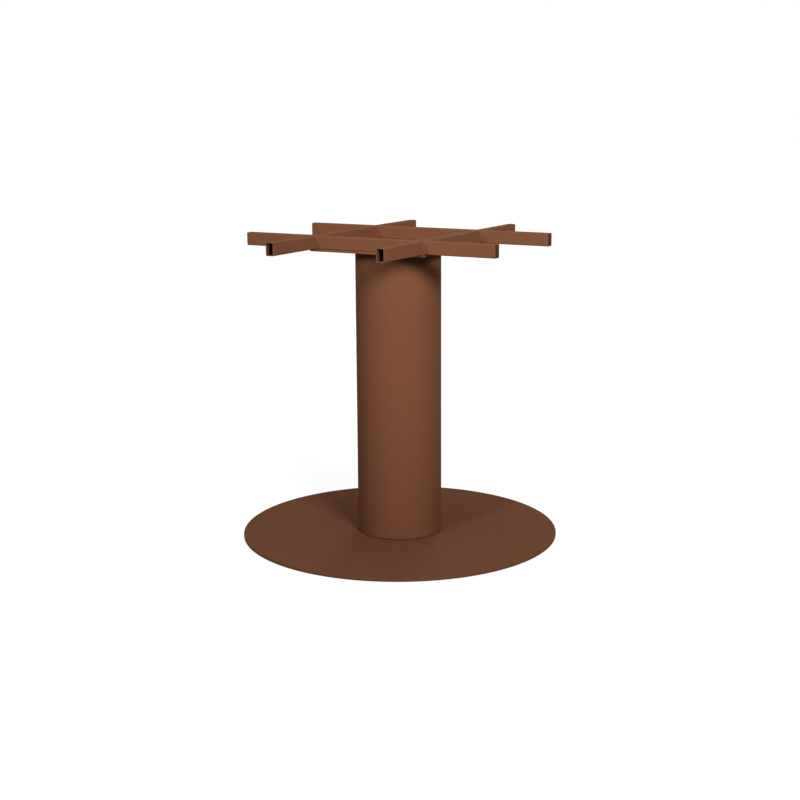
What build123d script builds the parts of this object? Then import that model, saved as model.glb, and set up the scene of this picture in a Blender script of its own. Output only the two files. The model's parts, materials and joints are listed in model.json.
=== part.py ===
from build123d import *
import os
from math import cos, pi, radians, sqrt, tan

# Round column table base. Millimetres, +Z up, standing on the floor at z = 0, with the column on the Z axis.
# A flat disc carries a wide tube. On the tube, a square plate carries a frame of hollow bars for a table top.

# Whole base
overall_height = 720.0

# Pads bonded under the disc
pad_diameter = 30.0
pad_thickness = 2.0
pad_inset = 35.0
pad_count = 6

# Disc
base_diameter = 750.0
base_thickness = 6.0
base_edge = 0.8

# Column
column_diameter = 200.0
column_wall = 3.0

# Square plates welded by their corners into the two ends of the column
end_plate_thickness = 8.0
end_plate_clearance = 0.1
fastener_margin = 22.0

# Square plate between the column and the bars
plate_thickness = 6.0
plate_setback = 1.0
plate_corner = 2.0

# Bars: rectangular tube with open ends
bar_length = 642.0
bar_spacing = 278.0
bar_height = 30.0
bar_width = 20.0
bar_wall = 2.0
bar_corner = 2.5

# Holes for the screws of the table top
top_hole_diameter = 8.0
top_hole_inset = 25.0

# Weld beads of the frame
weld_leg = 4.0
weld_crown = 0.5
stitch_length = 50.0

# Countersunk socket screws under the disc
screw_diameter = 8.0
screw_head_diameter = 15.0
screw_head_angle = 90.0
screw_recess = 0.2
screw_socket_flats = 5.0
screw_socket_depth = 2.5

# Hexagon bolts on the square plate
bolt_diameter = 10.0
bolt_head_flats = 16.0
bolt_head_height = 6.4
bolt_head_chamfer_angle = 30.0

# Fits of the fasteners
hexagon_sides = 6
fastener_tip = 2.0
hole_clearance = 0.25
thread_clearance = 0.1
seat_clearance = 0.1

# Levels
base_bottom = pad_thickness
base_top = base_bottom + base_thickness
bar_bottom = overall_height - bar_height
bar_middle = overall_height - bar_height / 2
plate_bottom = bar_bottom - plate_thickness
column_height = plate_bottom - base_top

# Radii and sides that follow from the sizes above
base_radius = base_diameter / 2
column_radius = column_diameter / 2
column_bore_radius = column_radius - column_wall
end_plate_radius = column_bore_radius - end_plate_clearance
fastener_pitch = (end_plate_radius - fastener_margin) * sqrt(2)
end_plate_side = fastener_pitch + 2 * fastener_margin
plate_side = bar_spacing + bar_width - 2 * plate_setback
half_spacing = bar_spacing / 2
half_width = bar_width / 2
stub_length = bar_length / 2 - half_spacing - half_width
middle_length = bar_spacing - bar_width
top_hole_reach = bar_length / 2 - top_hole_inset
screw_radius = screw_diameter / 2
screw_head_radius = screw_head_diameter / 2
screw_cone_slope = tan(radians(screw_head_angle / 2))
countersink_radius = screw_head_radius + screw_recess * screw_cone_slope + seat_clearance
bolt_radius = bolt_diameter / 2
bolt_head_radius = bolt_head_flats / 2

os.makedirs("parts", exist_ok=True)


# Pads bonded under the disc, in a ring near its rim
with BuildPart() as floor_pads:
    with BuildSketch(Plane.XY):
        with PolarLocations(base_radius - pad_inset, pad_count):
            Circle(pad_diameter / 2)
    extrude(amount=pad_thickness)
floor_pads.part.label = "floor_pads"
export_step(floor_pads.part, "parts/floor_pads.step")


# Disc with broken rims and countersunk holes in its underside
with BuildPart() as base_plate:
    with BuildSketch(Plane.XY.offset(base_bottom)):
        Circle(base_radius)
    extrude(amount=base_thickness)
    chamfer(base_plate.edges().filter_by(GeomType.CIRCLE), base_edge)
    with Locations(Plane(origin=(0, 0, base_bottom), z_dir=(0, 0, -1))):
        with GridLocations(fastener_pitch, fastener_pitch, 2, 2):
            CounterSinkHole(
                screw_radius + hole_clearance,
                countersink_radius,
                counter_sink_angle=screw_head_angle,
            )
base_plate.part.label = "base_plate"
export_step(base_plate.part, "parts/base_plate.step")


# Column: a plain round tube, cut square at both ends
with BuildPart() as column:
    with BuildSketch(Plane.XY.offset(base_top)):
        Circle(column_radius)
        Circle(column_bore_radius, mode=Mode.SUBTRACT)
    extrude(amount=column_height)
column.part.label = "column"
export_step(column.part, "parts/column.step")


def end_plate_outline():
    """A square whose corners are cut to the bore of the column, drawn on the current sketch plane."""
    Circle(end_plate_radius)
    Rectangle(end_plate_side, end_plate_side, mode=Mode.INTERSECT)


# Plate in the foot of the column, tapped for the screws under the disc
with BuildPart() as lower_end_plate:
    with BuildSketch(Plane.XY.offset(base_top)):
        end_plate_outline()
        with GridLocations(fastener_pitch, fastener_pitch, 2, 2):
            Circle(screw_radius + thread_clearance, mode=Mode.SUBTRACT)
    extrude(amount=end_plate_thickness)
lower_end_plate.part.label = "lower_end_plate"
export_step(lower_end_plate.part, "parts/lower_end_plate.step")


# Plate in the head of the column, tapped for the bolts of the square plate above it
with BuildPart() as upper_end_plate:
    with BuildSketch(Plane.XY.offset(plate_bottom - end_plate_thickness)):
        end_plate_outline()
        with GridLocations(fastener_pitch, fastener_pitch, 2, 2):
            Circle(bolt_radius + thread_clearance, mode=Mode.SUBTRACT)
    extrude(amount=end_plate_thickness)
upper_end_plate.part.label = "upper_end_plate"
export_step(upper_end_plate.part, "parts/upper_end_plate.step")


# Square plate under the bars
with BuildPart() as top_plate:
    with BuildSketch(Plane.XY.offset(plate_bottom)):
        RectangleRounded(plate_side, plate_side, plate_corner)
        with GridLocations(fastener_pitch, fastener_pitch, 2, 2):
            Circle(bolt_radius + hole_clearance, mode=Mode.SUBTRACT)
    extrude(amount=plate_thickness)
top_plate.part.label = "top_plate"
export_step(top_plate.part, "parts/top_plate.step")


def tube_section():
    """The hollow section of every bar, drawn on the current sketch plane."""
    RectangleRounded(bar_width, bar_height, bar_corner)
    Rectangle(bar_width - 2 * bar_wall, bar_height - 2 * bar_wall, mode=Mode.SUBTRACT)


# Two whole bars along X, with both ends open
for name, side in (("front_bar", -1), ("rear_bar", 1)):
    start = Plane(origin=(-bar_length / 2, side * half_spacing, bar_middle), x_dir=(0, 1, 0), z_dir=(1, 0, 0))
    with BuildPart() as whole_bar:
        with BuildSketch(start):
            tube_section()
        extrude(amount=bar_length)
        with Locations(
            (-top_hole_reach, side * half_spacing, overall_height),
            (top_hole_reach, side * half_spacing, overall_height),
        ):
            Hole(top_hole_diameter / 2, bar_height)
    whole_bar.part.label = name
    export_step(whole_bar.part, f"parts/{name}.step")


# Two crossing bars along Y, each cut in three where it meets the whole bars
for side_name, side in (("left", -1), ("right", 1)):
    for end_name, end in (("front", -1), ("rear", 1)):
        start = Plane(
            origin=(side * half_spacing, end * (half_spacing + half_width), bar_middle),
            x_dir=(1, 0, 0),
            z_dir=(0, end, 0),
        )
        with BuildPart() as stub:
            with BuildSketch(start):
                tube_section()
            extrude(amount=stub_length)
            with Locations((side * half_spacing, end * top_hole_reach, overall_height)):
                Hole(top_hole_diameter / 2, bar_height)
        stub.part.label = f"{side_name}_{end_name}_stub"
        export_step(stub.part, f"parts/{side_name}_{end_name}_stub.step")

    start = Plane(
        origin=(side * half_spacing, -middle_length / 2, bar_middle),
        x_dir=(1, 0, 0),
        z_dir=(0, 1, 0),
    )
    with BuildPart() as middle_bar:
        with BuildSketch(start):
            tube_section()
        extrude(amount=middle_length)
    middle_bar.part.label = f"{side_name}_middle_bar"
    export_step(middle_bar.part, f"parts/{side_name}_middle_bar.step")


def bead_section(corner, leg_one, leg_two):
    """A weld bead's section in a corner, with a slightly crowned face. The legs run along the two walls."""
    crown_way = (leg_one + leg_two).normalized()
    crown = corner + (leg_one + leg_two) / 2 + crown_way * weld_crown
    with BuildLine() as outline:
        Line(corner, corner + leg_one)
        ThreePointArc(corner + leg_one, crown, corner + leg_two)
        Line(corner + leg_two, corner)
    make_face(outline.edges())


# Weld beads: upright ones in the corners of each crossing, and a stitch along each side of the inner square
with BuildPart() as frame_welds:
    with BuildSketch(Plane.XY.offset(bar_bottom + bar_corner)):
        for x_side in (-1, 1):
            for y_side in (-1, 1):
                for x_way in (-1, 1):
                    for y_way in (-1, 1):
                        corner = Vector(
                            x_side * half_spacing + x_way * half_width,
                            y_side * half_spacing + y_way * half_width,
                        )
                        bead_section(corner, Vector(x_way * weld_leg, 0), Vector(0, y_way * weld_leg))
    extrude(amount=bar_height - 2 * bar_corner)
    for y_side in (-1, 1):
        with BuildSketch(Plane.YZ.offset(-stitch_length / 2)):
            corner = Vector(y_side * (half_spacing - half_width), bar_bottom)
            bead_section(corner, Vector(-y_side * weld_leg, 0), Vector(0, weld_leg))
        extrude(amount=stitch_length)
    for x_side in (-1, 1):
        with BuildSketch(Plane.XZ.offset(-stitch_length / 2)):
            corner = Vector(x_side * (half_spacing - half_width), bar_bottom)
            bead_section(corner, Vector(-x_side * weld_leg, 0), Vector(0, weld_leg))
        extrude(amount=stitch_length)
frame_welds.part.label = "frame_welds"
export_step(frame_welds.part, "parts/frame_welds.step")


# One countersunk socket screw on the Z axis, head down
screw_bottom = base_bottom + screw_recess
screw_neck = screw_bottom + (screw_head_radius - screw_radius) / screw_cone_slope
screw_tip = base_top + end_plate_thickness + fastener_tip
with BuildPart() as screw:
    with BuildSketch(Plane.XZ):
        with BuildLine():
            Polyline(
                (0, screw_bottom),
                (screw_head_radius, screw_bottom),
                (screw_radius, screw_neck),
                (screw_radius, screw_tip),
                (0, screw_tip),
                close=True,
            )
        make_face()
    revolve(axis=Axis.Z)
    with BuildSketch(Plane.XY.offset(screw_bottom)):
        RegularPolygon(screw_socket_flats / 2, hexagon_sides, major_radius=False)
    extrude(amount=screw_socket_depth, mode=Mode.SUBTRACT)

with BuildPart() as base_screws:
    with GridLocations(fastener_pitch, fastener_pitch, 2, 2):
        add(screw.part)
base_screws.part.label = "base_screws"
export_step(base_screws.part, "parts/base_screws.step")


# One hexagon bolt on the Z axis, head up, with the corners of its head turned off
bolt_top = bar_bottom + bolt_head_height
bolt_tip = plate_bottom - end_plate_thickness - fastener_tip
bolt_corner_radius = bolt_head_radius / cos(pi / hexagon_sides)
corner_drop = (bolt_corner_radius - bolt_head_radius) * tan(radians(bolt_head_chamfer_angle))
with BuildPart() as bolt:
    with BuildSketch(Plane.XY.offset(bar_bottom)):
        RegularPolygon(bolt_head_radius, hexagon_sides, major_radius=False)
    extrude(amount=bolt_head_height)
    with BuildSketch(Plane.XZ):
        with BuildLine():
            Polyline(
                (bolt_head_radius, bolt_top),
                (bolt_corner_radius, bolt_top),
                (bolt_corner_radius, bolt_top - corner_drop),
                close=True,
            )
        make_face()
    revolve(axis=Axis.Z, mode=Mode.SUBTRACT)
    with BuildSketch(Plane.XY.offset(bolt_tip)):
        Circle(bolt_radius)
    extrude(amount=bar_bottom - bolt_tip)

with BuildPart() as top_bolts:
    with GridLocations(fastener_pitch, fastener_pitch, 2, 2):
        add(bolt.part)
top_bolts.part.label = "top_bolts"
export_step(top_bolts.part, "parts/top_bolts.step")
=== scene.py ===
import json
import math
import random

import bmesh
import bpy
from mathutils import Matrix, Vector

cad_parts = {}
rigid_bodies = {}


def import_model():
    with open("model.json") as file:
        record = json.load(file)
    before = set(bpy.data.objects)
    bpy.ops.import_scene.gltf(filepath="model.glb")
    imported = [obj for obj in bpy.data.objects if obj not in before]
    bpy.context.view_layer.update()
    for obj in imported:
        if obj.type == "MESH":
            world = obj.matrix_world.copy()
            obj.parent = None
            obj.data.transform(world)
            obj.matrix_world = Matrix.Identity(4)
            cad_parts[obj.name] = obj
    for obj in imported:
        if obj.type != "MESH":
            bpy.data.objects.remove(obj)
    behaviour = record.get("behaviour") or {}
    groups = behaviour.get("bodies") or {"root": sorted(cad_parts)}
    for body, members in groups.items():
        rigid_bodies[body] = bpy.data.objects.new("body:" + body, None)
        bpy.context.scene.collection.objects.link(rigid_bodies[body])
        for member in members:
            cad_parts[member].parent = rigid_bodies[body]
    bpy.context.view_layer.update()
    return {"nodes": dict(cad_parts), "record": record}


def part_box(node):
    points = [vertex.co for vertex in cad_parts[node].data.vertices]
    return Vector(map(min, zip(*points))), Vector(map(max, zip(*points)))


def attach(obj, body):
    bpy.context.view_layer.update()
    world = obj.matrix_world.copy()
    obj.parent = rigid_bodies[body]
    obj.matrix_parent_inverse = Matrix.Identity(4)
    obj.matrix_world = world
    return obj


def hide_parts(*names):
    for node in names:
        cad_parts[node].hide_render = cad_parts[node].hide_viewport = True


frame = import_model()

# Round column table base. Lengths are in metres and angles in radians, in the frame of the solids.
# Only the record's lengths and the camera's sensor and lens are in millimetres.
MILLIMETRE = 0.001

# Sizes that the boxes of the solids don't give
COLUMN_WALL = 0.003
BAR_WALL = 0.002
BAR_CORNER = 0.0025
PLATE_CORNER = 0.002
PAD_RADIUS = 0.015
PAD_COUNT = 6
SCREW_HEAD_RADIUS = 0.0075
SCREW_RADIUS = 0.004
SCREW_RECESS = 0.0002
SCREW_SOCKET_FLATS = 0.005
SCREW_SOCKET_DEPTH = 0.0025
BOLT_RADIUS = 0.005
BOLT_HEAD_FLATS = 0.016
BOLT_FACE_HEIGHT = 0.0004
BOLT_CHAMFER_SLOPE = math.tan(math.radians(30))
HOLE_CLEARANCE = 0.00025
SEAT_CLEARANCE = 0.0001

# Softened edges
DISC_EDGE = 0.0012
COLUMN_EDGE = 0.0003
PLATE_EDGE = 0.0006
CUT_EDGE = 0.00035
PAD_EDGE = 0.0006
HOLE_CHAMFER = 0.0004

# Joint at the foot of the column
JOINT_HEIGHT = 0.0017
JOINT_DEPTH = 0.001

# Weld beads
BEAD_LEG = 0.004
BEAD_CROWN = 0.0007
BEAD_SINK = 0.00012
BEAD_STEP = 0.0004
BEAD_POINTS = 10
BEAD_END = 0.003
BEAD_END_DROP = 0.8
RIPPLE_PITCH = 0.0027
RIPPLE_HEIGHT = 0.0003
RIPPLE_LAG = 0.45
RIPPLE_LEAN = 0.35
RIPPLE_LEAN_PHASE = 0.8
SWELL_PITCH = 0.011
SWELL = 0.14
WELD_SEED = 7

# Stitches on the square plate, and welds that are ground level with the bars
STITCH_LENGTH = 0.05
FILL_SINK = 0.00005
FILL_DEPTH = 0.0055
FILL_OVERLAP = 0.001

# Fineness of the meshes, and margins of the cuts
ROUND_SEGMENTS = 256
SMALL_SEGMENTS = 64
CORNER_STEPS = 8
EDGE_STEPS = 4
SHARP_ANGLE = math.radians(35)
CUT_MARGIN = 0.001
BORE_MARGIN = 0.0005

# Finishes, with tones from dark to light, and how far the coat reaches into the open bars over the dark bare
# steel, which also paints their shade
COAT_TONES = (0.154, 0.0592, 0.0282), (0.176, 0.0693, 0.0344)
CLOUD_TONES = (0.94, 0.95, 0.96), (1.0, 1.0, 1.0)
THIN_COAT_TONES = (0.125, 0.048, 0.023), (0.143, 0.056, 0.028)
SCALE_AND_SHADE_TONES = (0.040, 0.016, 0.009), (0.076, 0.029, 0.014)
ZINC_TONES = (0.50, 0.51, 0.50), (0.66, 0.66, 0.64)
RUBBER_TONES = (0.012, 0.012, 0.012), (0.028, 0.027, 0.026)
MATT_SPECULAR = 0.03
COAT_DEPTH = 0.012
NOISE_RANGE = (0.3, 0.7)

# Camera, at the photograph's viewing angle
CAMERA_AZIMUTH = math.radians(29.62)
CAMERA_DISTANCE = 3.290
CAMERA_HEIGHT = 1.028
CAMERA_PITCH = math.radians(12.086)
CAMERA_ROLL = math.radians(-0.349)
CAMERA_YAW = math.radians(-0.037)
CAMERA_SENSOR = 36.0
CAMERA_LENS = 63.79

# Studio. The floor's glow rises over a range of distances from the axis, and the painted shadow
# under the disc fades out over a range of insets from its rim
WHITE = (1.0, 1.0, 1.0, 1.0)
FLOOR_SIZE = 16.0
FLOOR_ALBEDO = 0.4
FLOOR_SHADOW_SHARE = 0.3
FLOOR_GLOW = (0.82, 1.0)
FLOOR_GLOW_RANGE = (0.4, 1.4)
PAINTED_GAP_SHADOW_INSETS = (0.005, 0.003)
AMBIENT = 0.08
LAMP_AIM = Vector((0.1, 0.1, 0.9))

# Sockets of Blender's Mix node for colours
MIX_INPUTS = (6, 7)
MIX_RESULT = 2

scene = bpy.context.scene


# Shapes

def round_corner(before, corner, after, radius, steps):
    """The points of an arc that rounds one corner of an outline."""
    to_before = (before - corner).normalized()
    to_after = (after - corner).normalized()
    half_angle = to_before.angle(to_after) / 2
    centre = corner + (to_before + to_after).normalized() * (radius / math.sin(half_angle))
    start = corner + to_before * (radius / math.tan(half_angle)) - centre
    end = corner + to_after * (radius / math.tan(half_angle)) - centre
    sweep = math.pi - 2 * half_angle
    side = (end - start * math.cos(sweep)) / math.sin(sweep)
    turns = [sweep * step / steps for step in range(steps + 1)]
    return [centre + start * math.cos(turn) + side * math.sin(turn) for turn in turns]


def rounded_outline(corners, radius, steps):
    """A closed outline with every corner rounded."""
    points = [Vector(corner) for corner in corners]
    outline = []
    for index, corner in enumerate(points):
        after = points[(index + 1) % len(points)]
        outline += round_corner(points[index - 1], corner, after, radius, steps)
    return outline


def edge_profile(depth, bottom, top, radius):
    """The section of a solid plate's rim, as insets and levels, with both edges rounded.
    It starts and ends that deep inside the rim, where the flat caps begin."""
    points = [Vector(p) for p in ((depth, bottom), (0, bottom), (0, top), (depth, top))]
    lower = round_corner(points[0], points[1], points[2], radius, EDGE_STEPS)
    upper = round_corner(points[1], points[2], points[3], radius, EDGE_STEPS)
    return [points[0], *lower, *upper, points[3]]


def wall_profile(wall, bottom, top, radius, groove=()):
    """The section of a tube's wall, as insets and levels, with all its edges rounded.
    The corners of a groove take the place of the lower outer corner."""
    corners = (*(groove or ((0, bottom),)), (0, top), (wall, top), (wall, bottom))
    return rounded_outline(corners, radius, EDGE_STEPS)


def polygon_loop(radius, count):
    """A function that gives the regular polygon at an inset from that outer radius."""
    turns = [2 * math.pi * i / count for i in range(count)]
    return lambda inset: [((radius - inset) * math.cos(t), (radius - inset) * math.sin(t)) for t in turns]


def hexagon_radius(flats):
    """The radius through the corners of a hexagon of that width across its flats."""
    return flats / 2 / math.cos(math.pi / 6)


def hexagon_loop(flats):
    """A function that gives the hexagon of that width across its flats, where the inset is 0."""
    return polygon_loop(hexagon_radius(flats), 6)


def rectangle_loop(width, height, corner):
    """A function that gives the rounded rectangle at an inset from that size."""

    def loop_at(inset):
        x = width / 2 - inset
        y = height / 2 - inset
        return rounded_outline(((x, y), (-x, y), (-x, -y), (x, -y)), corner - inset, CORNER_STEPS)

    return loop_at


def skin(bm, loop_at, profile, place=Matrix(), closed=False):
    """Adds a surface with one loop of points for each inset and level of the profile.
    A closed profile makes a tube, and an open one a solid with a flat cap at each end."""
    rings = []
    for inset, level in profile:
        rings.append([bm.verts.new(place @ Vector((x, y, level))) for x, y in loop_at(inset)])
    if closed:
        rings.append(rings[0])
    else:
        bm.faces.new(rings[0])
        bm.faces.new(rings[-1])
    join_rings(bm, rings)


def join_rings(bm, rings):
    """Adds the faces between neighbouring loops of points."""
    for lower, upper in zip(rings, rings[1:]):
        for i in range(len(lower)):
            bm.faces.new((lower[i - 1], lower[i], upper[i], upper[i - 1]))


def temporary_mesh(bm):
    """A mesh that holds the shape for one step. It uses up the shape."""
    bmesh.ops.recalc_face_normals(bm, faces=bm.faces)
    mesh = bpy.data.meshes.new("temporary")
    bm.to_mesh(mesh)
    bm.free()
    return mesh


def boolean(shape, tool, operation):
    """The shape cut or trimmed by another closed shape, as a new bmesh. It uses up both."""
    meshes = [temporary_mesh(bm) for bm in (shape, tool)]
    body, cutter = [bpy.data.objects.new("temporary", mesh) for mesh in meshes]
    scene.collection.objects.link(body)
    scene.collection.objects.link(cutter)
    modifier = body.modifiers.new("cut", "BOOLEAN")
    modifier.operation = operation
    modifier.solver = "EXACT"
    modifier.object = cutter
    result = bmesh.new()
    result.from_object(body, bpy.context.evaluated_depsgraph_get())
    bpy.data.batch_remove([body, cutter, *meshes])
    return result


def repeated(bm, places):
    """A new bmesh with a copy of the shape at each place. It uses up the shape."""
    mesh = temporary_mesh(bm)
    copies = bmesh.new()
    for place in places:
        mesh.transform(place)
        copies.from_mesh(mesh)
        mesh.transform(place.inverted())
    bpy.data.meshes.remove(mesh)
    return copies


def piece(name, bm, materials, node):
    """Turns the shape into a named piece that stands for one of the solids."""
    bmesh.ops.recalc_face_normals(bm, faces=bm.faces)
    mesh = bpy.data.meshes.new(name)
    bm.to_mesh(mesh)
    bm.free()
    mesh.shade_smooth()
    mesh.set_sharp_from_angle(angle=SHARP_ANGLE)
    for material in materials:
        mesh.materials.append(material)
    obj = bpy.data.objects.new(name, mesh)
    scene.collection.objects.link(obj)
    even = obj.modifiers.new("even_normals", "WEIGHTED_NORMAL")
    even.keep_sharp = True
    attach(obj, "root")
    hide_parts(node)


# Nodes that several materials use

def arithmetic(tree, operation, one, two):
    """The result of one step of arithmetic on two outputs."""
    node = tree.nodes.new("ShaderNodeMath")
    node.operation = operation
    tree.links.new(one, node.inputs[0])
    tree.links.new(two, node.inputs[1])
    return node.outputs["Value"]


def map_range(tree, value, source, target, interpolation="LINEAR"):
    """A number that goes through the target range as the value goes through the source range."""
    node = tree.nodes.new("ShaderNodeMapRange")
    node.interpolation_type = interpolation
    sockets = ("From Min", "From Max", "To Min", "To Max")
    for socket, number in zip(sockets, (*source, *target)):
        node.inputs[socket].default_value = number
    tree.links.new(value, node.inputs["Value"])
    return node.outputs["Result"]


def mix_shaders(tree, factor, one, two):
    """A shader that goes from one to two with the factor."""
    node = tree.nodes.new("ShaderNodeMixShader")
    for socket, output in zip(node.inputs, (factor, one, two)):
        tree.links.new(output, socket)
    return node.outputs["Shader"]


# Finishes

class Finish:
    """A new material with one Principled shader, and short ways to add the nodes around it."""

    def __init__(self, name):
        self.material = bpy.data.materials.new(name)
        self.material.use_nodes = True
        self.tree = self.material.node_tree
        self.shader = self.tree.nodes["Principled BSDF"]
        self.place = self.tree.nodes.new("ShaderNodeTexCoord").outputs["Object"]

    def noise(self, size, detail):
        """Noise whose largest features are about that size."""
        node = self.tree.nodes.new("ShaderNodeTexNoise")
        node.inputs["Scale"].default_value = 1 / size
        node.inputs["Detail"].default_value = detail
        self.tree.links.new(self.place, node.inputs["Vector"])
        return node.outputs["Fac"]

    def colour(self, noise, tones):
        """A colour that follows the noise from the dark tone to the light one."""
        node = self.tree.nodes.new("ShaderNodeValToRGB")
        for element, position, tone in zip(node.color_ramp.elements, NOISE_RANGE, tones):
            element.position = position
            element.color = (*tone, 1.0)
        self.tree.links.new(noise, node.inputs["Fac"])
        return node.outputs["Color"]

    def number(self, noise, low, high):
        """A number that follows the noise from low to high."""
        return map_range(self.tree, noise, NOISE_RANGE, (low, high))

    def mix(self, one, two, kind="MIX", share=None):
        """Two colours mixed in that way. Without a share, the second one goes in fully."""
        node = self.tree.nodes.new("ShaderNodeMix")
        node.data_type = "RGBA"
        node.blend_type = kind
        node.inputs["Factor"].default_value = 1.0
        if share is not None:
            self.tree.links.new(share, node.inputs["Factor"])
        for colour, index in zip((one, two), MIX_INPUTS):
            self.tree.links.new(colour, node.inputs[index])
        return node.outputs[MIX_RESULT]

    def reach(self):
        """The distance from the column's axis along X or along Y, whichever is larger."""
        absolute = self.tree.nodes.new("ShaderNodeVectorMath")
        absolute.operation = "ABSOLUTE"
        self.tree.links.new(self.place, absolute.inputs[0])
        parts = self.tree.nodes.new("ShaderNodeSeparateXYZ")
        self.tree.links.new(absolute.outputs["Vector"], parts.inputs["Vector"])
        return arithmetic(self.tree, "MAXIMUM", parts.outputs["X"], parts.outputs["Y"])

    def bump(self, noise, height, under=None):
        """A relief of that height, on top of the relief under it."""
        node = self.tree.nodes.new("ShaderNodeBump")
        node.inputs["Distance"].default_value = height
        self.tree.links.new(noise, node.inputs["Height"])
        if under is not None:
            self.tree.links.new(under, node.inputs["Normal"])
        return node.outputs["Normal"]

    def link(self, value, name):
        """Feeds a node's output to a socket of the shader."""
        self.tree.links.new(value, self.shader.inputs[name])


def powder_coat():
    """Red-brown powder coat: matt, with a faint orange peel, fine grain and cloudy tone."""
    coat = Finish("powder_coat")
    clouds = coat.colour(coat.noise(size=0.12, detail=3), CLOUD_TONES)
    grain = coat.colour(coat.noise(size=0.0011, detail=2), COAT_TONES)
    coat.link(coat.mix(grain, clouds, kind="MULTIPLY"), "Base Color")
    coat.link(coat.number(coat.noise(size=0.02, detail=4), low=0.76, high=0.88), "Roughness")
    peel = coat.bump(coat.noise(size=0.0028, detail=1), height=0.00006)
    coat.link(coat.bump(coat.noise(size=0.0006, detail=2), height=0.00002, under=peel), "Normal")
    coat.shader.inputs["Specular IOR Level"].default_value = MATT_SPECULAR
    return coat.material


def zinc_plate():
    """Bright zinc on the fasteners, with cloudy passivation and a fine grain."""
    zinc = Finish("zinc_plate")
    zinc.link(zinc.colour(zinc.noise(size=0.004, detail=4), ZINC_TONES), "Base Color")
    zinc.link(zinc.number(zinc.noise(size=0.0015, detail=5), low=0.28, high=0.45), "Roughness")
    zinc.link(zinc.bump(zinc.noise(size=0.0004, detail=3), height=0.00001), "Normal")
    zinc.shader.inputs["Metallic"].default_value = 1.0
    return zinc.material


def bare_steel_and_painted_shade():
    """Dark bare steel from the mill, inside the bars and in the joint of the column, its darkness also
    painted shade of these hollows.
    The coat thins out over it in the open ends of the bars, which all lie equally far out, so the tone also
    paints the shade that deepens into the bores."""
    steel = Finish("bare_steel_and_painted_shade")
    # The dark tone is painted shade as well as bare steel
    scale_and_shade = steel.colour(steel.noise(size=0.006, detail=4), SCALE_AND_SHADE_TONES)
    thin_coat = steel.colour(steel.noise(size=0.0011, detail=2), THIN_COAT_TONES)
    open_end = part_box("front_bar")[1].x
    share = map_range(steel.tree, steel.reach(), (open_end - COAT_DEPTH, open_end), (0, 1))
    steel.link(steel.mix(scale_and_shade, thin_coat, share=share), "Base Color")
    steel.link(steel.number(steel.noise(size=0.002, detail=3), low=0.7, high=0.9), "Roughness")
    steel.link(steel.bump(steel.noise(size=0.0008, detail=3), height=0.00003), "Normal")
    steel.shader.inputs["Specular IOR Level"].default_value = MATT_SPECULAR
    return steel.material


def pad_rubber():
    """Dark rubber with a fine moulded grain."""
    rubber = Finish("pad_rubber")
    rubber.link(rubber.colour(rubber.noise(size=0.002, detail=3), RUBBER_TONES), "Base Color")
    rubber.link(rubber.number(rubber.noise(size=0.001, detail=3), low=0.7, high=0.9), "Roughness")
    rubber.link(rubber.bump(rubber.noise(size=0.0005, detail=2), height=0.00005), "Normal")
    return rubber.material


POWDER = powder_coat()
BARE_AND_PAINTED_SHADE = bare_steel_and_painted_shade()
ZINC = zinc_plate()
RUBBER = pad_rubber()


# Foot and column

def fastener_places():
    """The four places of the screws under the disc, which are also those of the bolts above the column."""
    half_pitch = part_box("base_screws")[1].x - SCREW_HEAD_RADIUS
    ways = [(x, y) for x in (-1, 1) for y in (-1, 1)]
    return [Matrix.Translation((x * half_pitch, y * half_pitch, 0)) for x, y in ways]


def floor_pads():
    """Round pads in a ring under the disc."""
    low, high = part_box("floor_pads")
    profile = edge_profile(PAD_RADIUS / 2, low.z, high.z, PAD_EDGE)
    bm = bmesh.new()
    for count in range(PAD_COUNT):
        turn = Matrix.Rotation(2 * math.pi * count / PAD_COUNT, 4, "Z")
        place = turn @ Matrix.Translation((high.x - PAD_RADIUS, 0, 0))
        skin(bm, polygon_loop(PAD_RADIUS, SMALL_SEGMENTS), profile, place)
    piece("rubber_pads", bm, [RUBBER], "floor_pads")


def disc():
    """The disc, with a soft rim and countersunk holes in its underside."""
    low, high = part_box("base_plate")
    bm = bmesh.new()
    skin(bm, polygon_loop(high.x, ROUND_SEGMENTS), edge_profile(high.x / 2, low.z, high.z, DISC_EDGE))
    head = SCREW_HEAD_RADIUS + SCREW_RECESS + SEAT_CLEARANCE + CUT_MARGIN
    shank = SCREW_RADIUS + HOLE_CLEARANCE
    cone_bottom = low.z - CUT_MARGIN
    cone_top = cone_bottom + head - shank
    hole = bmesh.new()
    profile = ((0, cone_bottom), (head - shank, cone_top), (head - shank, high.z + CUT_MARGIN))
    skin(hole, polygon_loop(head, SMALL_SEGMENTS), profile)
    bm = boolean(bm, repeated(hole, fastener_places()), "DIFFERENCE")
    piece("foot_disc", bm, [POWDER], "base_plate")


def screws():
    """Countersunk screws with a hexagon socket, head down in the disc."""
    low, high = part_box("base_screws")
    taper = SCREW_HEAD_RADIUS - SCREW_RADIUS
    bm = bmesh.new()
    profile = ((0, low.z), (taper, low.z + taper), (taper, high.z))
    skin(bm, polygon_loop(SCREW_HEAD_RADIUS, SMALL_SEGMENTS), profile)
    socket = bmesh.new()
    profile = ((0, low.z - CUT_MARGIN), (0, low.z + SCREW_SOCKET_DEPTH))
    skin(socket, hexagon_loop(SCREW_SOCKET_FLATS), profile)
    bm = boolean(bm, socket, "DIFFERENCE")
    piece("socket_screws", repeated(bm, fastener_places()), [ZINC], "base_screws")


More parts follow.
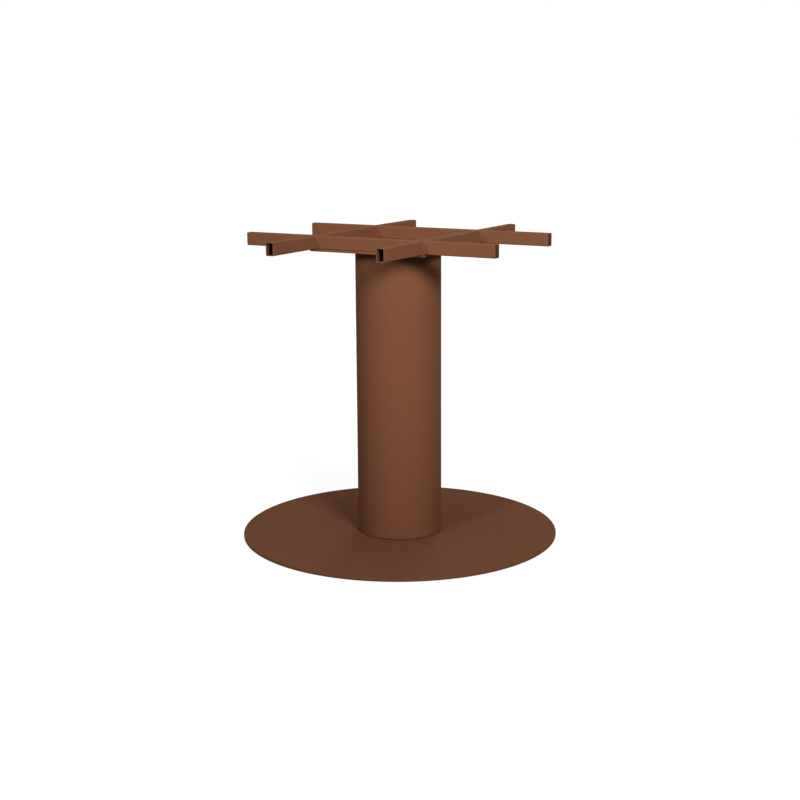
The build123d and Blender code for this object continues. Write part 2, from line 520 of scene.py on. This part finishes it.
def column():
    """The wide round tube, with softened ends and a narrow joint groove above the disc, whose faces are dark
    bare steel that paints the shadow of the joint.
    """
    low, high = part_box("column")
    bm = bmesh.new()
    joint = low.z + JOINT_HEIGHT
    groove = ((JOINT_DEPTH, low.z), (JOINT_DEPTH, joint), (0, joint))
    profile = wall_profile(COLUMN_WALL, low.z, high.z, COLUMN_EDGE, groove)
    skin(bm, polygon_loop(high.x, ROUND_SEGMENTS), profile, closed=True)
    # The groove's faces take the dark bare steel: painted shade at the joint
    for face in bm.faces:
        face.material_index = int(face.calc_center_median().z < joint)
    piece("column_tube", bm, [POWDER, BARE_AND_PAINTED_SHADE], "column")


# Head: the square plate, its bolts and the frame of bars

def top_plate():
    """The square plate under the bars, with its bolt holes."""
    low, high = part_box("top_plate")
    bm = bmesh.new()
    profile = edge_profile(PLATE_CORNER / 2, low.z, high.z, PLATE_EDGE)
    skin(bm, rectangle_loop(2 * high.x, 2 * high.y, PLATE_CORNER), profile)
    hole = bmesh.new()
    profile = ((0, low.z - CUT_MARGIN), (0, high.z + CUT_MARGIN))
    skin(hole, polygon_loop(BOLT_RADIUS + HOLE_CLEARANCE, SMALL_SEGMENTS), profile)
    bm = boolean(bm, repeated(hole, fastener_places()), "DIFFERENCE")
    piece("square_plate", bm, [POWDER], "top_plate")


def bolts():
    """Hexagon bolts on the square plate, with turned-off corners and a bearing face under the head."""
    low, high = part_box("top_bolts")
    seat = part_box("top_plate")[1].z
    face_top = seat + BOLT_FACE_HEIGHT
    flat_radius = BOLT_HEAD_FLATS / 2
    corner_radius = hexagon_radius(BOLT_HEAD_FLATS)
    head = bmesh.new()
    skin(head, hexagon_loop(BOLT_HEAD_FLATS), ((0, face_top), (0, high.z)))
    turned = bmesh.new()
    drop = (corner_radius - flat_radius) * BOLT_CHAMFER_SLOPE
    profile = ((0, seat), (0, high.z - drop), (corner_radius - flat_radius, high.z))
    skin(turned, polygon_loop(corner_radius, SMALL_SEGMENTS), profile)
    bm = boolean(head, turned, "INTERSECT")
    skin(bm, polygon_loop(flat_radius, SMALL_SEGMENTS), ((0, seat), (0, face_top)))
    skin(bm, polygon_loop(BOLT_RADIUS, SMALL_SEGMENTS), ((0, low.z), (0, seat)))
    piece("hexagon_bolts", repeated(bm, fastener_places()), [ZINC], "top_bolts")


def table_top_holes():
    """The places and the radius of the holes in the bars, from the mounts of the record."""
    patterns = [m["dims"] for m in frame["record"]["mounts"] if m["kind"] == "bolt_pattern"]
    places = []
    for dims in patterns:
        half_x = dims["spacing_x_mm"] / 2 * MILLIMETRE
        half_y = dims["spacing_y_mm"] / 2 * MILLIMETRE
        places += [(x, y) for x in (-half_x, half_x) for y in (-half_y, half_y)]
    return places, patterns[0]["hole_r_mm"] * MILLIMETRE


def drilled(bm, low, high):
    """The bar that fills the box between those corners, with the table top's holes that fall in it."""
    places, radius = table_top_holes()
    flare = HOLE_CHAMFER + CUT_MARGIN
    profile = (
        (-flare, low.z - CUT_MARGIN),
        (0, low.z + HOLE_CHAMFER),
        (0, high.z - HOLE_CHAMFER),
        (-flare, high.z + CUT_MARGIN),
    )
    drills = bmesh.new()
    for x, y in places:
        if low.x < x < high.x and low.y < y < high.y:
            skin(drills, polygon_loop(radius, SMALL_SEGMENTS), profile, Matrix.Translation((x, y, 0)))
    return boolean(bm, drills, "DIFFERENCE") if drills.verts else bm


def bar(node):
    """One hollow bar, with softened sawn ends, holes for the table top and a bore of dark bare steel that
    also paints its shade.
    """
    low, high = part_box(node)
    middle = (low + high) / 2
    size = high - low
    lies_along_x = size.x > size.y
    along = Vector((1, 0, 0)) if lies_along_x else Vector((0, 1, 0))
    across = Vector((0, 1, 0)) if lies_along_x else Vector((1, 0, 0))
    turn = Matrix((across, (0, 0, 1), along)).transposed().to_4x4()
    place = Matrix.Translation(middle) @ turn
    length = size.dot(along)
    width = size.dot(across)
    bm = bmesh.new()
    profile = wall_profile(BAR_WALL, -length / 2, length / 2, CUT_EDGE)
    skin(bm, rectangle_loop(width, size.z, BAR_CORNER), profile, place, closed=True)
    bm = drilled(bm, low, high)
    # The faces inside the walls take the dark bare steel, which also paints the shade in the bore
    for face in bm.faces:
        offset = face.calc_center_median() - middle
        depth = min(width / 2 - abs(offset.dot(across)), size.z / 2 - abs(offset.z))
        face.material_index = int(depth > BAR_WALL - BORE_MARGIN)
    piece(node + "_tube", bm, [POWDER, BARE_AND_PAINTED_SHADE], node)


# Welds of the frame

def ripple(count):
    """The height of a bead's ripples at that count of them, each steeper on one side."""
    phase = 2 * math.pi * count
    return RIPPLE_HEIGHT * (math.cos(phase) + RIPPLE_LEAN * math.cos(2 * phase + RIPPLE_LEAN_PHASE))


def bead(bm, start, along, length, way_one, way_two, chance):
    """Adds one rippled weld bead, from start along a corner, with its toes on the two walls."""
    outward = (way_one + way_two).normalized()
    ripple_start = chance.random()
    swell_start = chance.uniform(0, 2 * math.pi)
    steps = round(length / BEAD_STEP)
    rings = []
    for step in range(steps + 1):
        travel = length * step / steps
        from_end = min(travel, length - travel, BEAD_END) / BEAD_END
        taper = math.sqrt(1 - BEAD_END_DROP * (1 - from_end) ** 2)
        swell = 1 + SWELL * math.sin(2 * math.pi * travel / SWELL_PITCH + swell_start)
        root = start + along * travel - outward * BEAD_SINK
        ring = [bm.verts.new(root - outward * BEAD_SINK)]
        for point in range(BEAD_POINTS + 1):
            share = point / BEAD_POINTS
            bow = 4 * share * (1 - share)
            rise = ripple(travel / RIPPLE_PITCH - RIPPLE_LAG * bow + ripple_start)
            chord = (way_one * (1 - share) + way_two * share) * BEAD_LEG * swell
            height = BEAD_CROWN * bow + rise * math.sqrt(bow)
            ring.append(bm.verts.new(root + (chord + outward * height) * taper))
        rings.append(ring)
    bm.faces.new(rings[0])
    bm.faces.new(rings[-1])
    join_rings(bm, rings)


def corner_beads(bm, x_walls, y_walls, chance):
    """Adds an upright bead in each corner between a crossing bar and a whole one."""
    low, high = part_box("front_bar")
    height = high.z - low.z - 2 * BAR_CORNER
    for x, x_way in x_walls:
        for y, y_way in y_walls:
            start = Vector((x, y, low.z + BAR_CORNER))
            ways = Vector((x_way, 0, 0)), Vector((0, y_way, 0))
            bead(bm, start, Vector((0, 0, 1)), height, *ways, chance)


def ground_fill(bm, x, y, into, level):
    """Adds one weld that fills the groove over a whole bar's rounded edge and is ground level with the
    bars. It starts at the bar's wall at y, and goes that way along Y into the bar."""
    low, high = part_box("left_middle_bar")
    loop = rectangle_loop(high.x - low.x - 2 * FILL_SINK, FILL_DEPTH, BAR_CORNER)
    turn = Matrix(((1, 0, 0), (0, 0, 1), (0, into, 0))).transposed().to_4x4()
    place = Matrix.Translation((x, y, level)) @ turn
    skin(bm, loop, ((0, -FILL_OVERLAP), (0, BAR_CORNER)), place)


def ground_welds(bm, crossing, y_walls):
    """Adds the ground welds over the crossing bars, and under them at the walls that face outwards."""
    low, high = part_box("front_bar")
    upper = high.z - FILL_SINK - FILL_DEPTH / 2
    lower = low.z + FILL_SINK + FILL_DEPTH / 2
    for y, y_way in y_walls:
        levels = (upper, lower) if y * y_way > 0 else (upper,)
        for box in crossing:
            for level in levels:
                ground_fill(bm, (box[0].x + box[1].x) / 2, y, -y_way, level)


def stitches(bm, x_walls, y_walls, chance):
    """Adds a short bead on the square plate at the middle of each wall that faces the column's axis."""
    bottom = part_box("front_bar")[0].z
    up = Vector((0, 0, 1))
    for y, y_way in y_walls:
        if y * y_way < 0:
            start = Vector((-STITCH_LENGTH / 2, y, bottom))
            bead(bm, start, Vector((1, 0, 0)), STITCH_LENGTH, Vector((0, y_way, 0)), up, chance)
    for x, x_way in x_walls:
        if x * x_way < 0:
            start = Vector((x, -STITCH_LENGTH / 2, bottom))
            bead(bm, start, Vector((0, 1, 0)), STITCH_LENGTH, Vector((x_way, 0, 0)), up, chance)


def welds():
    """All welds of the frame. A wall is a place on its axis and the way it faces, 1 or -1."""
    chance = random.Random(WELD_SEED)
    crossing = [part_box("left_middle_bar"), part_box("right_middle_bar")]
    whole = [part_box("front_bar"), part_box("rear_bar")]
    x_walls = [(box[end].x, 2 * end - 1) for box in crossing for end in (0, 1)]
    y_walls = [(box[end].y, 2 * end - 1) for box in whole for end in (0, 1)]
    bm = bmesh.new()
    corner_beads(bm, x_walls, y_walls, chance)
    ground_welds(bm, crossing, y_walls)
    stitches(bm, x_walls, y_walls, chance)
    piece("weld_beads", bm, [POWDER], "frame_welds")


# Stage, light and camera

def seen_directly(tree):
    """A factor of 1 for what the camera sees straight, mirrored or through glass, and 0 for other light."""
    path = tree.nodes.new("ShaderNodeLightPath")
    seen = path.outputs["Is Camera Ray"]
    for name in ("Is Glossy Ray", "Is Transmission Ray"):
        seen = arithmetic(tree, "MAXIMUM", seen, path.outputs[name])
    return seen


def surroundings():
    """Soft even light from all round, behind which the background shows as white."""
    world = bpy.data.worlds.new("studio")
    world.use_nodes = True
    scene.world = world
    tree = world.node_tree
    light = tree.nodes["Background"]
    light.inputs["Color"].default_value = WHITE
    light.inputs["Strength"].default_value = AMBIENT
    white = tree.nodes.new("ShaderNodeBackground")
    white.inputs["Color"].default_value = WHITE
    white.inputs["Strength"].default_value = 1.0
    shader = mix_shaders(tree, seen_directly(tree), light.outputs["Background"], white.outputs["Background"])
    tree.links.new(shader, tree.nodes["World Output"].inputs["Surface"])


def matt_grey(tree, brightness):
    """A matt shader of that brightness."""
    node = tree.nodes.new("ShaderNodeBsdfDiffuse")
    node.inputs["Color"].default_value = (brightness, brightness, brightness, 1.0)
    return node.outputs["BSDF"]


def floor_glow(tree):
    """The strength of the floor's own light, which rises away from the object. It is taken away under the
    disc, up to a little inside its rim, which paints the shadow beneath the disc's edge."""
    distance = tree.nodes.new("ShaderNodeVectorMath")
    distance.operation = "LENGTH"
    tree.links.new(tree.nodes.new("ShaderNodeTexCoord").outputs["Object"], distance.inputs[0])
    rise = map_range(tree, distance.outputs["Value"], FLOOR_GLOW_RANGE, FLOOR_GLOW, "SMOOTHSTEP")
    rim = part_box("base_plate")[1].x
    # The glow is cut out under the disc: a painted shadow at its edge
    painted_shadow_edge = [rim - inset for inset in PAINTED_GAP_SHADOW_INSETS]
    painted_gap_shadow = map_range(tree, distance.outputs["Value"], painted_shadow_edge, (0, 1))
    return arithmetic(tree, "MULTIPLY", rise, painted_gap_shadow)


def floor_material():
    """White as the camera sees it, apart from the object's soft shadow, and grey for other light."""
    material = bpy.data.materials.new("studio_floor")
    material.use_nodes = True
    tree = material.node_tree
    tree.nodes.remove(tree.nodes["Principled BSDF"])
    glow = tree.nodes.new("ShaderNodeEmission")
    tree.links.new(floor_glow(tree), glow.inputs["Strength"])
    bright = tree.nodes.new("ShaderNodeAddShader")
    tree.links.new(matt_grey(tree, FLOOR_SHADOW_SHARE), bright.inputs[0])
    tree.links.new(glow.outputs["Emission"], bright.inputs[1])
    grey = matt_grey(tree, FLOOR_ALBEDO)
    shader = mix_shaders(tree, seen_directly(tree), grey, bright.outputs["Shader"])
    tree.links.new(shader, tree.nodes["Material Output"].inputs["Surface"])
    return material


def floor():
    """A wide plain floor."""
    bm = bmesh.new()
    bmesh.ops.create_grid(bm, x_segments=1, y_segments=1, size=FLOOR_SIZE / 2)
    mesh = bpy.data.meshes.new("studio_floor")
    bm.to_mesh(mesh)
    bm.free()
    mesh.materials.append(floor_material())
    obj = bpy.data.objects.new("studio_floor", mesh)
    scene.collection.objects.link(obj)


def around(azimuth, distance, height):
    """A point round the object. The azimuth is counted from the front, positive to the right."""
    return Vector((distance * math.sin(azimuth), -distance * math.cos(azimuth), height))


def softbox(name, side, distance, height, size, power, spread, mirrored=True):
    """A soft lamp of that width and height, aimed a little above the head of the base. Its side is the
    angle from the camera, and its grid limits the spread of its light, both in degrees. Glossy surfaces
    don't show a lamp that isn't mirrored."""
    lamp = bpy.data.lights.new(name, "AREA")
    lamp.shape = "RECTANGLE"
    lamp.size, lamp.size_y = size
    lamp.energy = power
    lamp.spread = math.radians(spread)
    obj = bpy.data.objects.new(name, lamp)
    obj.location = around(CAMERA_AZIMUTH + math.radians(side), distance, height)
    aim = LAMP_AIM - obj.location
    obj.rotation_euler = aim.to_track_quat("-Z", "Y").to_euler()
    obj.visible_glossy = mirrored
    scene.collection.objects.link(obj)


def camera():
    """The camera, in the photograph's place."""
    data = bpy.data.cameras.new("camera")
    data.sensor_width = CAMERA_SENSOR
    data.lens = CAMERA_LENS
    obj = bpy.data.objects.new("camera", data)
    heading = Matrix.Rotation(CAMERA_AZIMUTH + CAMERA_YAW, 4, "Z")
    tilt = Matrix.Rotation(math.pi / 2 - CAMERA_PITCH, 4, "X")
    roll = Matrix.Rotation(CAMERA_ROLL, 4, "Z")
    place = Matrix.Translation(around(CAMERA_AZIMUTH, CAMERA_DISTANCE, CAMERA_HEIGHT))
    obj.matrix_world = place @ heading @ tilt @ roll
    scene.collection.objects.link(obj)
    scene.camera = obj


floor_pads()
disc()
screws()
column()
top_plate()
bolts()
bar_nodes = [node for node in frame["nodes"] if node.endswith(("_bar", "_stub"))]
for bar_node in bar_nodes:
    bar(bar_node)
welds()
for hidden_node in ("lower_end_plate", "upper_end_plate"):
    frame["nodes"][hidden_node].data.materials.clear()
    frame["nodes"][hidden_node].data.materials.append(POWDER)

surroundings()
floor()
softbox("key", side=22, distance=3.6, height=1.94, size=(1.1, 0.75), power=13.9, spread=51)
softbox("fill", side=-38, distance=3.6, height=1.94, size=(0.75, 0.75), power=6, spread=51)
softbox("overhead", side=0, distance=0.3, height=3, size=(1.36, 1.36), power=21, spread=180, mirrored=False)
softbox("rear", side=168, distance=3, height=1.2, size=(0.9, 0.9), power=7.2, spread=56, mirrored=False)
camera()
scene.view_settings.view_transform = "Standard"
